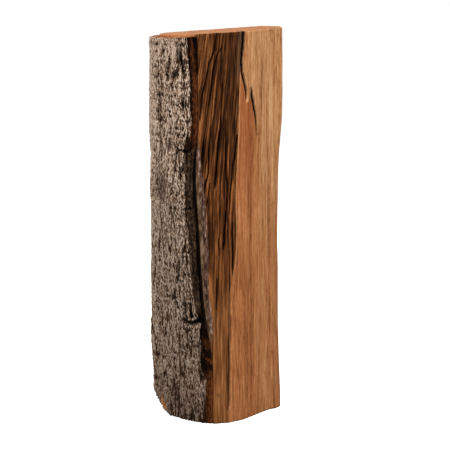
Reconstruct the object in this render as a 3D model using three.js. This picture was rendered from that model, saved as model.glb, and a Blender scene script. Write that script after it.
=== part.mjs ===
// A split log: one riven piece of firewood that stands on its sawn foot.
// Its round side still carries the bark, which is a loose shell of its own over the wood.
// Millimetres, +Z up the grain. The origin is the centre of the foot, and -Y is the side with the ridge.
import * as THREE from "three";

// Driving dimensions
const logHeight = 334.8; // where the upper saw cut crosses the line above the drawing's zero
const sawSlope = new THREE.Vector2(0.05, -0.02); // rise of the upper saw cut for each millimetre of X and Y
const barkDrop = 2.1; // the bark's upper end is chipped this far below the wood's
const barkThickness = 8.2;
const beddingGap = 0.6; // the bark has dried loose from the wood
const sectionCentre = new THREE.Vector2(-7.76, 52.78); // centre of the foot in the drawing of the sections

// How finely the surfaces are divided
const barkStations = 15;
const woodLevels = 26;
const barkLevels = 24;

// The outside of the bark, from its back edge round to its front edge, at the foot and at the top.
const barkAtFoot = [[-58, 70], [-62.6, 58], [-63.2, 47], [-58.4, 37], [-51, 29.5], [-42, 20.5], [-31, 9.5]];
const barkAtTop = [[-59.5, 71], [-63.6, 58], [-64.6, 44], [-61.6, 29], [-55.4, 15], [-47.5, 5.5], [-39, 0.6]];

// Lines that run up the log, as [height, x, y] stops.
const barkFrontEdge = [
  [0, -19.5, 1.6], [60, -21.5, 2], [90, -22.5, 2.2], [120, -28, 2.4], [180, -32.5, 3.4],
  [210, -33.5, 4], [245, -29.5, 3], [290, -29.5, 1.4], [335, -31.4, 0.8],
];
const crease = [
  [0, -10.8, 0.8], [55, -11, 1], [72, -13.2, 2.5], [90, -17.4, 5], [125, -21, 7.5], [170, -23.6, 8.5],
  [205, -26, 9], [232, -25.6, 8.6], [252, -23, 6.8], [290, -23.4, 6.4], [335, -23.8, 6.6],
];
const lip = [
  [0, -9.6, -0.6], [50, -9.9, -0.6], [90, -11.2, -0.2], [118, -14.4, 0.6], [150, -14.8, 1.6],
  [198, -17.8, 2.6], [240, -21.2, 4], [290, -22.4, 5.2], [335, -22.8, 5.6],
];
const ridge = [
  [0, 3.2, 3], [50, 4.4, 3.8], [112, 4.2, 4.6], [142, 8.8, 6.2], [200, 9.2, 8], [250, 11.4, 9.6],
  [300, 12.8, 12], [335, 15.4, 14],
];
const shoulder = [[0, 16.3, 14.2], [150, 20.4, 18.6], [335, 24.6, 23]];
const hollow = [[0, 37, 43.8], [335, 37.2, 42.4]];
const brow = [[0, 44.4, 50.2], [88, 42.4, 50], [220, 43, 50.2], [335, 45, 51.5]];
const rightCorner = [
  [0, 48.8, 57], [40, 47.2, 57], [90, 46.4, 57], [170, 46, 57], [222, 46.8, 57], [256, 48.9, 57], [335, 48.6, 57],
];
const backCorner = [[0, 47.6, 76], [90, 45.4, 77], [220, 45.8, 79], [335, 47.4, 80]];
const apex = [[0, 31, 105.6], [170, 33.4, 104.6], [335, 32, 106.2]];
const backHollow = [[0, -6, 87.6], [170, -4, 86], [335, -6, 88.2]];

// How far the broken foot of the bark stands off the ground, by the share of the way from back edge to front edge.
const barkFoot = [[0, 11], [0.14, 20], [0.28, 19.4], [0.4, 12], [0.5, 4], [0.57, 0], [1, 0]];

// A smooth curve through rows that start with where they stand and go on with their values.
function smoothRows(rows) {
  const places = rows.map(([place]) => place);
  const values = rows.flatMap(([, ...rest]) => rest);
  const size = rows[0].length - 1;
  const curve = new THREE.CubicInterpolant(places, values, size, new Float64Array(size));
  return (place) => Array.from(curve.evaluate(place));
}

function lineUp(stops) {
  const at = smoothRows(stops);
  return (height) => new THREE.Vector2(...at(height));
}

const lines = {
  barkFrontEdge: lineUp(barkFrontEdge),
  crease: lineUp(crease),
  lip: lineUp(lip),
  ridge: lineUp(ridge),
  shoulder: lineUp(shoulder),
  hollow: lineUp(hollow),
  brow: lineUp(brow),
  rightCorner: lineUp(rightCorner),
  backCorner: lineUp(backCorner),
  apex: lineUp(apex),
  backHollow: lineUp(backHollow),
};

// The bark's outside at one height, as evenly spaced stations from its back edge to its front edge.
function barkOutside(height) {
  const share = THREE.MathUtils.smoothstep(height / logHeight, 0.02, 0.75);
  const points = barkAtFoot.map(([x, y], i) => new THREE.Vector2(x, y).lerp(new THREE.Vector2(...barkAtTop[i]), share));
  points.push(lines.barkFrontEdge(height));
  return new THREE.SplineCurve(points).getSpacedPoints(barkStations);
}

// From each outside station to the inside one. The last ones turn towards the crease, where the bark ends.
function barkInwards(outside, height) {
  const last = outside.length - 1;
  const edgeStep = lines.crease(height).sub(outside[last]);
  return outside.map((point, i) => {
    const along = outside[Math.min(i + 1, last)].clone().sub(outside[Math.max(i - 1, 0)]).normalize();
    const inwards = new THREE.Vector2(-along.y, along.x).multiplyScalar(barkThickness);
    return inwards.lerp(edgeStep, THREE.MathUtils.smoothstep(i / last, 0.62, 1));
  });
}

function barkInside(outside, inwards, depthBeyond) {
  return outside.map((point, i) => point.clone().add(inwards[i].clone().setLength(inwards[i].length() + depthBeyond)));
}

// Points after one corner, up to and including the next, in equal steps.
function stepTo(from, to, steps) {
  return Array.from({ length: steps }, (_, i) => from.clone().lerp(to, (i + 1) / steps));
}

// The wood's outline at one height, anticlockwise from the back edge of the bark.
function woodOutline(height) {
  const outside = barkOutside(height);
  const outline = barkInside(outside, barkInwards(outside, height), beddingGap);
  const corners = [
    ["lip", 1], ["ridge", 4], ["shoulder", 2], ["hollow", 3], ["brow", 1], ["rightCorner", 1],
    ["backCorner", 2], ["apex", 3], ["backHollow", 4],
  ];
  for (const [name, steps] of corners) {
    outline.push(...stepTo(outline[outline.length - 1], lines[name](height), steps));
  }
  outline.push(...stepTo(outline[outline.length - 1], outline[0], 5).slice(0, -1));
  return outline;
}

function sawCut(point) {
  return logHeight + sawSlope.dot(point);
}

// Writes positions and triangles, with the drawing's zero moved to the centre of the foot.
class Skin {
  positions = [];
  triangles = [];

  add(point, z) {
    this.positions.push(point.x - sectionCentre.x, point.y - sectionCentre.y, z);
    return this.positions.length / 3 - 1;
  }

  quad(a, b, c, d) {
    this.triangles.push(a, b, c, a, c, d);
  }

  geometry() {
    const geometry = new THREE.BufferGeometry();
    geometry.setAttribute("position", new THREE.Float32BufferAttribute(this.positions, 3));
    geometry.setIndex(this.triangles);
    geometry.computeVertexNormals();
    return geometry;
  }
}

// Rings of equal length are joined from the lowest up, and the two ends are closed flat.
function woodGeometry() {
  const skin = new Skin();
  const rings = [];
  for (let level = 0; level <= woodLevels; level++) {
    const share = level / woodLevels;
    rings.push(woodOutline(share * logHeight).map((point) => skin.add(point, share * sawCut(point))));
  }
  const count = rings[0].length;
  for (let level = 0; level < woodLevels; level++) {
    for (let i = 0; i < count; i++) {
      const next = (i + 1) % count;
      skin.quad(rings[level][i], rings[level][next], rings[level + 1][next], rings[level + 1][i]);
    }
  }
  const foot = rings[0];
  const top = rings[woodLevels];
  for (const [a, b, c] of THREE.ShapeUtils.triangulateShape(woodOutline(0), [])) {
    skin.triangles.push(foot[a], foot[c], foot[b]);
  }
  for (const [a, b, c] of THREE.ShapeUtils.triangulateShape(woodOutline(logHeight), [])) {
    skin.triangles.push(top[a], top[b], top[c]);
  }
  return skin.geometry();
}

// The bark is a wall between an outside and an inside grid. Its foot follows the broken corner.
function barkGeometry() {
  const skin = new Skin();
  const footHeight = smoothRows(barkFoot);
  const outer = [];
  const inner = [];
  for (let level = 0; level <= barkLevels; level++) {
    const outerRow = [];
    const innerRow = [];
    for (let i = 0; i <= barkStations; i++) {
      const low = Math.max(0, footHeight(i / barkStations)[0]);
      const height = THREE.MathUtils.lerp(low, logHeight, level / barkLevels);
      const outside = barkOutside(height);
      const inside = barkInside(outside, barkInwards(outside, height), 0);
      for (const [row, points] of [[outerRow, outside], [innerRow, inside]]) {
        const high = sawCut(points[i]) - barkDrop;
        row.push(skin.add(points[i], THREE.MathUtils.lerp(low, high, level / barkLevels)));
      }
    }
    outer.push(outerRow);
    inner.push(innerRow);
  }
  for (let level = 0; level < barkLevels; level++) {
    for (let i = 0; i < barkStations; i++) {
      skin.quad(outer[level][i], outer[level][i + 1], outer[level + 1][i + 1], outer[level + 1][i]);
      skin.quad(inner[level][i + 1], inner[level][i], inner[level + 1][i], inner[level + 1][i + 1]);
    }
    skin.quad(inner[level][0], outer[level][0], outer[level + 1][0], inner[level + 1][0]);
    const end = barkStations;
    skin.quad(outer[level][end], inner[level][end], inner[level + 1][end], outer[level + 1][end]);
  }
  for (let i = 0; i < barkStations; i++) {
    skin.quad(outer[0][i + 1], outer[0][i], inner[0][i], inner[0][i + 1]);
    skin.quad(outer[barkLevels][i], outer[barkLevels][i + 1], inner[barkLevels][i + 1], inner[barkLevels][i]);
  }
  return skin.geometry();
}

const splitLog = new THREE.Group();

const wood = new THREE.Mesh(woodGeometry(), new THREE.MeshStandardMaterial({ color: 0xb57c52, roughness: 0.72, metalness: 0 }));
wood.name = "split_wood";
splitLog.add(wood);

const bark = new THREE.Mesh(barkGeometry(), new THREE.MeshStandardMaterial({ color: 0x7c6a5c, roughness: 0.9, metalness: 0 }));
bark.name = "bark";
splitLog.add(bark);

export default splitLog;
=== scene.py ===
import math
from functools import partial

import bpy
import numpy as np
from bpy.props import FloatProperty, FloatVectorProperty, PointerProperty
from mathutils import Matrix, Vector


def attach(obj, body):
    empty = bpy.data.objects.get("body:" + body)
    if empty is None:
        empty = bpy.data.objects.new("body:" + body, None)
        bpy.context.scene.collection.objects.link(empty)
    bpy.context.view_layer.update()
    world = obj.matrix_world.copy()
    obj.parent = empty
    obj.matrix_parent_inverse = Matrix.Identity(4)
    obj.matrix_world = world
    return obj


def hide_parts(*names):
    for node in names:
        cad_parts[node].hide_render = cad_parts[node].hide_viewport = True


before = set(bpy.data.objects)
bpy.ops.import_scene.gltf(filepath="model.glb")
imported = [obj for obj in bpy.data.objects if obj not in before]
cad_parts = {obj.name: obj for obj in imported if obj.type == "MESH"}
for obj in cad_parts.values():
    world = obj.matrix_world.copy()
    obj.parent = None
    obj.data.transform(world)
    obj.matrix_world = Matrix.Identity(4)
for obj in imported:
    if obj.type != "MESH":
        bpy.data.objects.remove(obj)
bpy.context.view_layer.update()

bl_info = {
    "name": "Split Log",
    "version": (1, 0, 0),
    "blender": (4, 5, 0),
    "location": "View3D > Sidebar > Split Log",
    "description": "A riven piece of firewood with its bark, standing on its sawn foot",
    "category": "Add Mesh",
}

MM = 0.001


# The log's shape. Lengths here are millimetres in the drawing's frame: X to the right, Y away from the
# ridge and Z up the grain. Its zero lies at the front of the foot, and SECTION_CENTRE is the foot's centre.

SECTION_CENTRE = np.array([-7.76, 52.78])
LOG_HEIGHT = 334.8
SAW_SLOPE = np.array([0.05, -0.02])
BARK_DROP = 2.1
BARK_THICKNESS = 8.2
BEDDING_GAP = 0.6

# The outside of the bark, from its back edge round to its front edge, at the foot and at the top.
BARK_AT_FOOT = [[-58, 70], [-62.6, 58], [-63.2, 47], [-58.4, 37], [-51, 29.5], [-42, 20.5], [-31, 9.5]]
BARK_AT_TOP = [[-59.5, 71], [-63.6, 58], [-64.6, 44], [-61.6, 29], [-55.4, 15], [-47.5, 5.5], [-39, 0.6]]

# Lines that run up the log, as [height, x, y] stops.
LINES = {
    "bark_front_edge": [
        [0, -19.5, 1.6], [60, -21.5, 2], [90, -22.5, 2.2], [120, -28, 2.4], [180, -32.5, 3.4],
        [210, -33.5, 4], [245, -29.5, 3], [290, -29.5, 1.4], [335, -31.4, 0.8],
    ],
    "crease": [
        [0, -10.8, 0.8], [55, -11, 1], [72, -13.2, 2.5], [90, -17.4, 5], [125, -21, 7.5], [170, -23.6, 8.5],
        [205, -26, 9], [232, -25.6, 8.6], [252, -23, 6.8], [290, -23.4, 6.4], [335, -23.8, 6.6],
    ],
    "lip": [
        [0, -9.6, -0.6], [50, -9.9, -0.6], [90, -11.2, -0.2], [118, -14.4, 0.6], [150, -14.8, 1.6],
        [198, -17.8, 2.6], [240, -21.2, 4], [290, -22.4, 5.2], [335, -22.8, 5.6],
    ],
    "ridge": [
        [0, 3.2, 3], [50, 4.4, 3.8], [112, 4.2, 4.6], [142, 8.8, 6.2], [200, 9.2, 8], [250, 11.4, 9.6],
        [300, 12.8, 12], [335, 15.4, 14],
    ],
    "shoulder": [[0, 16.3, 14.2], [150, 20.4, 18.6], [335, 24.6, 23]],
    "hollow": [[0, 37, 43.8], [335, 37.2, 42.4]],
    "brow": [[0, 44.4, 50.2], [88, 42.4, 50], [220, 43, 50.2], [335, 45, 51.5]],
    "right_corner": [
        [0, 48.8, 57], [40, 47.2, 57], [90, 46.4, 57], [170, 46, 57], [222, 46.8, 57], [256, 48.9, 57],
        [335, 48.6, 57],
    ],
    "back_corner": [[0, 47.6, 76], [90, 45.4, 77], [220, 45.8, 79], [335, 47.4, 80]],
    "apex": [[0, 31, 105.6], [170, 33.4, 104.6], [335, 32, 106.2]],
    "back_hollow": [[0, -6, 87.6], [170, -4, 86], [335, -6, 88.2]],
}

# How far the broken foot of the bark stands off the ground, by the share of the way from back to front.
BARK_FOOT = [[0, 11], [0.14, 20], [0.28, 19.4], [0.4, 12], [0.5, 4], [0.57, 0], [1, 0]]

# Drying cracks in the bright face, as (x, height, half width).
MAIN_CRACK = [
    (16.4, 342, 1.1), (15.5, 328, 1.0), (14.5, 317, 0.85), (14.1, 308, 0.75), (14.5, 301, 0.55),
    (15.8, 296, 0.5), (17.2, 290, 0.45), (18.0, 284, 0.35), (18.0, 278, 0.1),
]
SECOND_CRACK = [
    (22.0, 288, 0.3), (23.3, 279, 0.55), (24.7, 271, 0.42), (26.0, 263, 0.3), (26.6, 257, 0.2),
    (27.6, 246, 0.05),
]
# The tongue of the lifted flap between the two cracks, down its right side.
TONGUE_SIDE = [(21.6, 287), (19.6, 275)]

# A fine dark streak low in the bright face.
BRIGHT_STREAK = [(37.0, 205, 0.1), (37.4, 175, 0.3), (37.0, 130, 0.1)]
# Deep slits in the dark face.
DARK_SLITS = [
    [
        (-8.5, 336, 0.25), (-8.6, 320, 0.5), (-12.8, 309, 0.5), (-15.9, 295, 0.4), (-18.7, 283, 0.4),
        (-21.2, 262, 0.4),
    ],
    [
        (-2.7, 322, 0.2), (-6.8, 315, 0.4), (-9.7, 302, 0.45), (-11.4, 288, 0.35), (-13.4, 274, 0.3),
        (-16, 257, 0.1),
    ],
    [(-6.4, 338, 0.4), (-7.7, 320, 0.4)],
    [(-17.7, 243, 0.4), (-18.2, 234, 0.9), (-18.9, 225, 0.4)],
    [(-11.8, 256, 0.2), (-13.2, 237, 0.4), (-13.8, 216, 0.5), (-16, 208, 0.4), (-17.2, 200, 0.2)],
    [
        (-2, 292, 0.2), (-3.5, 258, 0.45), (-5.6, 237, 0.55), (-6.9, 221, 0.7), (-7.9, 207, 0.7),
        (-8.1, 204, 0.3),
    ],
    [
        (0.8, 262, 0.2), (0.8, 224, 0.5), (2.2, 208, 0.5), (1.5, 186, 0.45), (-0.2, 166, 0.7),
        (-1, 156, 1.0), (-1.3, 152, 0.5),
    ],
    [(10.6, 248, 0.5), (7, 222, 0.45), (4.6, 198, 0.45), (3.8, 181, 0.2)],
    [(-12.7, 208, 0.2), (-13.9, 197, 0.4), (-14.9, 190, 0.3)],
    [(-5.4, 160, 0.2), (-5.1, 153, 0.4), (-4.4, 146, 0.2)],
    [(-6.5, 126, 0.2), (-6.7, 115, 0.5), (-6.8, 100, 0.2)],
    [(6.6, 174, 0.3), (6.6, 158, 0.55), (6.9, 146, 0.8), (6.8, 138, 0.6), (6.9, 129, 0.15)],
]
# The ragged seam along the front ridge.
RIDGE_SEAM = [
    (4.0, 150, 0.15), (3.9, 128, 0.5), (4.2, 104, 0.6), (4.4, 92, 0.8), (4.8, 77, 0.7), (3.8, 67, 1.0),
    (3.9, 52, 0.8), (3.3, 37, 0.9), (3.9, 21, 0.7), (3.3, 12, 0.2),
]
# The knot mark near the foot, as x and height.
KNOT = (-5.7, 25)
# How deep the cracks and slits are cut, in the wood and in the bark, and how softly a crack's walls fall.
CRACK_DEPTH = 2.4
CRACK_WALL = 0.8
# Down to this height the furrows of the dark face lean to the left, and below it they run straight.
LEAN_FOOT = 215
# Pairs of heights between which a thing comes in or goes out, from below.
FLAP_FADE = (225, 262)
FURROWS_IN = (70, 170)
CREVICE_IN = (66, 90)
CREVICE_OUT = (236, 250)
GREY_IN = (66, 84)
GREY_OUT = (236, 246)
HOLLOW_IN = (38, 50)
HOLLOW_OUT = (92, 106)
ROLLED_IN = (88, 97)
ROLLED_OUT = (232, 246)
WEDGE_IN = (298, 303)

# Where the bark's outer skin breaks off towards the wood, from the top down.
SKIN_EDGE = [
    (-32.2, 336), (-31.4, 311), (-29.6, 300), (-28.4, 287), (-30.1, 279), (-27.6, 263), (-29.6, 249),
    (-34.2, 238), (-35.6, 219), (-33, 214), (-35.2, 203), (-32.5, 178), (-30.6, 145), (-28.3, 118),
    (-25.8, 99), (-20.2, 88), (-22.2, 80), (-20.8, 66), (-22, 56), (-20.6, 45), (-16.4, 38), (-16.4, 29),
    (-18.8, 11), (-20.6, 0),
]

# Cracks in the bark.
BARK_CRACKS = [
    [(-40.3, 327, 0.1), (-40.1, 317, 0.35), (-39.8, 309, 0.1)],
    [(-36.6, 327, 0.2), (-36.3, 313, 0.5), (-35, 303, 0.5), (-33.8, 300, 0.1)],
    [(-35, 281, 0.4), (-34.6, 275, 0.8), (-34.8, 270, 0.3)],
    [
        (-41.4, 240, 0.3), (-38.9, 236, 0.55), (-36.7, 237.4, 0.5), (-34.5, 235.6, 0.55),
        (-31.1, 234.8, 0.55), (-28.6, 237, 0.5), (-26.2, 239, 0.5),
    ],
    [(-34, 186.5, 0.15), (-31, 187, 0.3), (-28, 185.6, 0.2)],
    [(-38.8, 142, 0.2), (-39.5, 134, 0.7), (-40.5, 127, 0.6), (-41.2, 121, 0.2)],
    [(-46.2, 112, 0.35), (-43.9, 107, 0.6), (-40.6, 101, 0.55), (-40, 98, 0.2)],
    [(-36, 107.4, 0.4), (-34.5, 103, 0.65), (-34.8, 96, 0.45), (-33, 90, 0.6)],
    [(-32, 104.2, 0.4), (-29.9, 104.2, 0.55), (-29.3, 100, 0.7), (-29.4, 92, 0.6)],
    [(-36.4, 92.4, 0.4), (-34.2, 88.4, 0.7), (-29.9, 87, 0.9), (-25.4, 88.6, 1.7), (-20.4, 91, 2.6)],
]
# The left side of the wedge that is missing from the top of the bark's edge.
WEDGE_EDGE = [(-27.6, 338), (-27.2, 331), (-24.4, 316), (-24.2, 301)]
# Where a chip of skin has come off the bark's broken foot.
FOOT_CHIP = [(-56.5, 17, 1.0), (-55, 11, 2.0), (-53, 6, 2.0)]
# Patches where the bark is stained or worn, as (x, height, half width, half height).
DARK_PATCHES = [(-54.5, 203, 6, 13), (-43.6, 23, 2.4, 6.5), (-37.6, 316, 2.6, 9), (-47, 240, 3, 5)]


def smooth_rows(rows, places):
    """A cubic through rows that start with where they stand; its values at these places."""
    rows = np.asarray(rows, float)
    at = rows[:, 0]
    values = rows[:, 1:]
    slopes = np.gradient(values, at, axis=0)
    places = np.asarray(places, float)
    low = np.clip(np.searchsorted(at, places, side="right") - 1, 0, len(at) - 2)
    span = (at[low + 1] - at[low])[..., None]
    t = np.clip((places - at[low])[..., None] / span, 0, 1)
    rise = values[low + 1] - values[low]
    climb = t * t * (3 - 2 * t)
    lead = t * (1 - t) * (1 - t) * slopes[low] * span
    trail = t * t * (1 - t) * slopes[low + 1] * span
    return values[low] + rise * climb + lead - trail


def ease(low, high, value):
    """0 up to the low value, 1 from the high value on, and eased between them."""
    t = np.clip((value - low) / (high - low), 0, 1)
    return t * t * (3 - 2 * t)


def curve_rows(control, shares):
    """A curve through each row of control points; its points at these shares of its length."""
    fine = 16
    padded = np.concatenate([control[:, :1], control, control[:, -1:]], axis=1)
    p0, p1, p2, p3 = (padded[:, i:len(padded[0]) - 3 + i, None] for i in range(4))
    t = (np.arange(fine) / fine)[None, None, :, None]
    m1 = (p2 - p0) / 2
    m2 = (p3 - p1) / 2
    cubic = (2 * p1 - 2 * p2 + m1 + m2) * t ** 3 + (-3 * p1 + 3 * p2 - 2 * m1 - m2) * t ** 2 + m1 * t + p1
    dense = np.concatenate([cubic.reshape(len(control), -1, 2), control[:, -1:]], axis=1)
    steps = np.linalg.norm(np.diff(dense, axis=1), axis=2)
    lengths = np.concatenate([np.zeros((len(control), 1)), np.cumsum(steps, axis=1)], axis=1)
    rows = []
    for points, length in zip(dense, lengths):
        places = shares * length[-1]
        rows.append(np.stack([np.interp(places, length, points[:, axis]) for axis in (0, 1)], axis=1))
    return np.array(rows)


def bark_walls(heights, shares):
    """The bark's outside and inside points, for each height and each share of the way round."""
    blend = ease(0.02, 0.75, heights / LOG_HEIGHT)[:, None, None]
    control = (1 - blend) * np.array(BARK_AT_FOOT, float) + blend * np.array(BARK_AT_TOP, float)
    edge = smooth_rows(LINES["bark_front_edge"], heights)[:, None]
    outside = curve_rows(np.concatenate([control, edge], axis=1), shares)
    along = np.gradient(outside, axis=1)
    along /= np.linalg.norm(along, axis=2, keepdims=True)
    inwards = np.stack([-along[..., 1], along[..., 0]], axis=2) * BARK_THICKNESS
    edge_step = smooth_rows(LINES["crease"], heights)[:, None] - outside[:, -1:]
    turn = ease(0.62, 1, shares)[None, :, None]
    return outside, outside + inwards * (1 - turn) + edge_step * turn


def saw_cut(points):
    """The height of the sawn top over each point."""
    return LOG_HEIGHT + points @ SAW_SLOPE


# Noise and grooves, for the relief of the surfaces.


def lattice(x, y, seed):
    """A random number from 0 to 1 at each whole place."""
    h = x.astype(np.uint64) * np.uint64(374761393) + y.astype(np.uint64) * np.uint64(668265263)
    h = (h + np.uint64(seed * 974634777 + 1013904223)) & np.uint64(0xFFFFFFFF)
    h = ((h ^ (h >> np.uint64(15))) * np.uint64(2246822519)) & np.uint64(0xFFFFFFFF)
    h = ((h ^ (h >> np.uint64(13))) * np.uint64(3266489917)) & np.uint64(0xFFFFFFFF)
    return (h ^ (h >> np.uint64(16))).astype(np.float64) / 4294967295.0


def noise(x, y, seed):
    """Smooth noise from about -1 to 1 that changes over about one unit."""
    x = x + 4096.0
    y = y + 4096.0
    cx = np.floor(x)
    cy = np.floor(y)
    fx = x - cx
    fy = y - cy
    sx = fx * fx * fx * (fx * (fx * 6 - 15) + 10)
    sy = fy * fy * fy * (fy * (fy * 6 - 15) + 10)
    corners = []
    for dx, dy in ((0, 0), (1, 0), (0, 1), (1, 1)):
        turn = lattice(cx + dx, cy + dy, seed) * 2 * math.pi
        corners.append(np.cos(turn) * (fx - dx) + np.sin(turn) * (fy - dy))
    low = corners[0] + (corners[1] - corners[0]) * sx
    high = corners[2] + (corners[3] - corners[2]) * sx
    return (low + (high - low) * sy) * 1.5


def layered_noise(x, y, seed):
    """Noise with half as much of it again at half the size."""
    return noise(x, y, seed) + noise(x / 0.5, y / 0.5, seed + 1) * 0.5


def cell_walls(x, y, seed):
    """How far each place is from the walls between scattered cells: 0 on a wall, up to about 1 inside."""
    x = x + 4096.0
    y = y + 4096.0
    cx = np.floor(x)
    cy = np.floor(y)
    nearest = np.full(x.shape, 9.0)
    second = np.full(x.shape, 9.0)
    for dx in (-1, 0, 1):
        for dy in (-1, 0, 1):
            px = cx + dx + 0.08 + 0.84 * lattice(cx + dx, cy + dy, seed)
            py = cy + dy + 0.08 + 0.84 * lattice(cx + dx, cy + dy, seed + 1)
            distance = np.hypot(px - x, py - y)
            second = np.minimum(second, np.maximum(nearest, distance))
            nearest = np.minimum(nearest, distance)
    return second - nearest


def furrows(x, y, seed, width):
    """1 along wandering lines that split and join, falling to 0 beside them."""
    return 1 - ease(0, width, np.abs(noise(x, y, seed)))


def cut_along(x, z, lines, soft):
    """1 within the half width of listed lines, falling to 0 over the soft distance beyond it. A narrow
    line is fainter."""
    best = np.zeros(x.shape)
    for (x0, z0, w0), (x1, z1, w1) in (pair for line in lines for pair in zip(line, line[1:])):
        dx = x1 - x0
        dz = z1 - z0
        t = np.clip(((x - x0) * dx + (z - z0) * dz) / (dx * dx + dz * dz), 0, 1)
        width = w0 + (w1 - w0) * t
        gap = np.hypot(x - x0 - t * dx, z - z0 - t * dz) - width
        best = np.maximum(best, (1 - ease(0, soft, gap)) * np.clip(0.45 + width, 0, 1))
    return best


def line_at(z, line):
    """Where a listed line, given from its top down, stands at these heights."""
    rows = np.array(line)[::-1]
    return np.interp(z, rows[:, 1], rows[:, 0])


def outward(points):
    """The direction that faces out of each row's closed outline, softened over a few columns."""
    ring = points[:, :-1]
    along = np.roll(ring, -2, axis=1) - np.roll(ring, 2, axis=1)
    along /= np.maximum(np.linalg.norm(along, axis=2, keepdims=True), 1e-9)
    out = np.stack([along[..., 1], -along[..., 0]], axis=2)
    return np.concatenate([out, out[:, :1]], axis=1)


# Meshes


def add_rows(rows, extra, at_foot):
    """Adds rows of points below or above those there are."""
    for key, value in extra.items():
        rows[key].insert(0 if at_foot else len(rows[key]), value)


def grid_piece(name, parts):
    """A grid whose points are moved to the parts' places, with its seam merged. The other parts are fields
    on its points."""
    fields = {key: np.concatenate(rows) for key, rows in parts.items()}
    positions = fields.pop("place")
    rows, columns = positions.shape[:2]
    bpy.ops.object.select_all(action="DESELECT")
    bpy.ops.mesh.primitive_grid_add(x_subdivisions=columns - 1, y_subdivisions=rows - 1, size=2)
    piece = bpy.context.object
    piece.name = name
    mesh = piece.data
    mesh.name = name
    flat = np.empty(len(mesh.vertices) * 3, np.float32)
    mesh.vertices.foreach_get("co", flat)
    flat = flat.reshape(-1, 3)
    column = np.rint((flat[:, 0] + 1) / 2 * (columns - 1)).astype(int)
    row = np.rint((flat[:, 1] + 1) / 2 * (rows - 1)).astype(int)
    placed = positions[row, column] - np.array([*SECTION_CENTRE, 0.0])
    mesh.vertices.foreach_set("co", (placed * MM).astype(np.float32).ravel())
    for field, values in fields.items():
        kind, key = ("FLOAT_VECTOR", "vector") if values.ndim == 3 else ("FLOAT", "value")
        layer = mesh.attributes.new(field, kind, "POINT")
        layer.data.foreach_set(key, values[row, column].astype(np.float32).ravel())
    mesh.update()
    bpy.ops.object.mode_set(mode="EDIT")
    bpy.ops.mesh.select_all(action="SELECT")
    bpy.ops.mesh.remove_doubles(threshold=0.000001)
    bpy.ops.object.mode_set(mode="OBJECT")
    return piece


def close_ends(piece):
    """Closes the open rim at each end with one face."""
    bpy.ops.object.mode_set(mode="EDIT")
    bpy.ops.mesh.select_mode(type="EDGE")
    bpy.ops.mesh.select_all(action="DESELECT")
    bpy.ops.mesh.select_non_manifold(extend=False, use_wire=False, use_multi_face=False, use_verts=False)
    bpy.ops.mesh.fill_holes(sides=0)
    bpy.ops.object.mode_set(mode="OBJECT")
    return piece


def finish_piece(piece, material, node):
    """Gives the new piece, which is still the selected one, its material and smooth shading, hangs it from
    the root body and hides the CAD part it stands in for.
    """
    piece.data.materials.append(material)
    bpy.ops.object.shade_smooth()
    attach(piece, "root")
    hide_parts(node)


# Wood

WOOD_ROWS = 238
# Columns on each stretch of the wood's outline, anticlockwise from the bark's back edge.
WOOD_STRETCHES = [
    ("under_bark", 30), ("strip", 12), ("dark_face", 94), ("bright_face", 138), ("right_face", 20),
    ("right_back", 26), ("back_right", 30), ("back_left", 32),
]
# Rings of each sawn end, as shares of the way to its middle.
END_RINGS = np.array([0.004, 0.02, 0.06, 0.14, 0.28, 0.45, 0.63, 0.82, 1.0])[:, None]
END_MIDDLE = np.array([-2.0, 52.0])
# The pith lies just inside the back split. The rings round it are a little deeper than they are wide.
PITH = np.array([20.0, 88.0])
RING_SHAPE = np.array([1.05, 0.92])
# Sets the grain of each face apart from the next one's.
FACE_STEP = 37.0


def wood_outlines(heights):
    """The wood's closed outline at each height, and which stretch each column is on."""
    at = {name: smooth_rows(stops, heights) for name, stops in LINES.items()}
    steps = dict(WOOD_STRETCHES)
    outside, inside = bark_walls(heights, np.linspace(0, 1, steps["under_bark"] + 1))
    inwards = inside - outside
    reach = np.linalg.norm(inwards, axis=2, keepdims=True)
    under = outside + inwards * (1 + BEDDING_GAP / reach)
    bright = np.stack([at[name] for name in ("ridge", "shoulder", "hollow", "brow", "right_corner")], axis=1)
    corners = {
        "strip": (under[:, -1], at["lip"]),
        "dark_face": (at["lip"], at["ridge"]),
        "right_face": (at["right_corner"], at["back_corner"]),
        "right_back": (at["back_corner"], at["apex"]),
        "back_right": (at["apex"], at["back_hollow"]),
        "back_left": (at["back_hollow"], under[:, 0]),
    }
    parts = []
    stretch = []
    share = []
    for index, (name, count) in enumerate(WOOD_STRETCHES):
        shares = np.linspace(0, 1, count + 1)[:-1]
        if name == "under_bark":
            parts.append(under[:, :-1])
        elif name == "bright_face":
            parts.append(curve_rows(bright, shares))
        else:
            start, end = (corner[:, None] for corner in corners[name])
            parts.append(start + (end - start) * shares[None, :, None])
        stretch += [index] * count
        share += list(shares)
    outline = np.concatenate(parts + [under[:, :1]], axis=1)
    return outline, np.array(stretch + [0]), np.array(share + [0.0])


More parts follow.
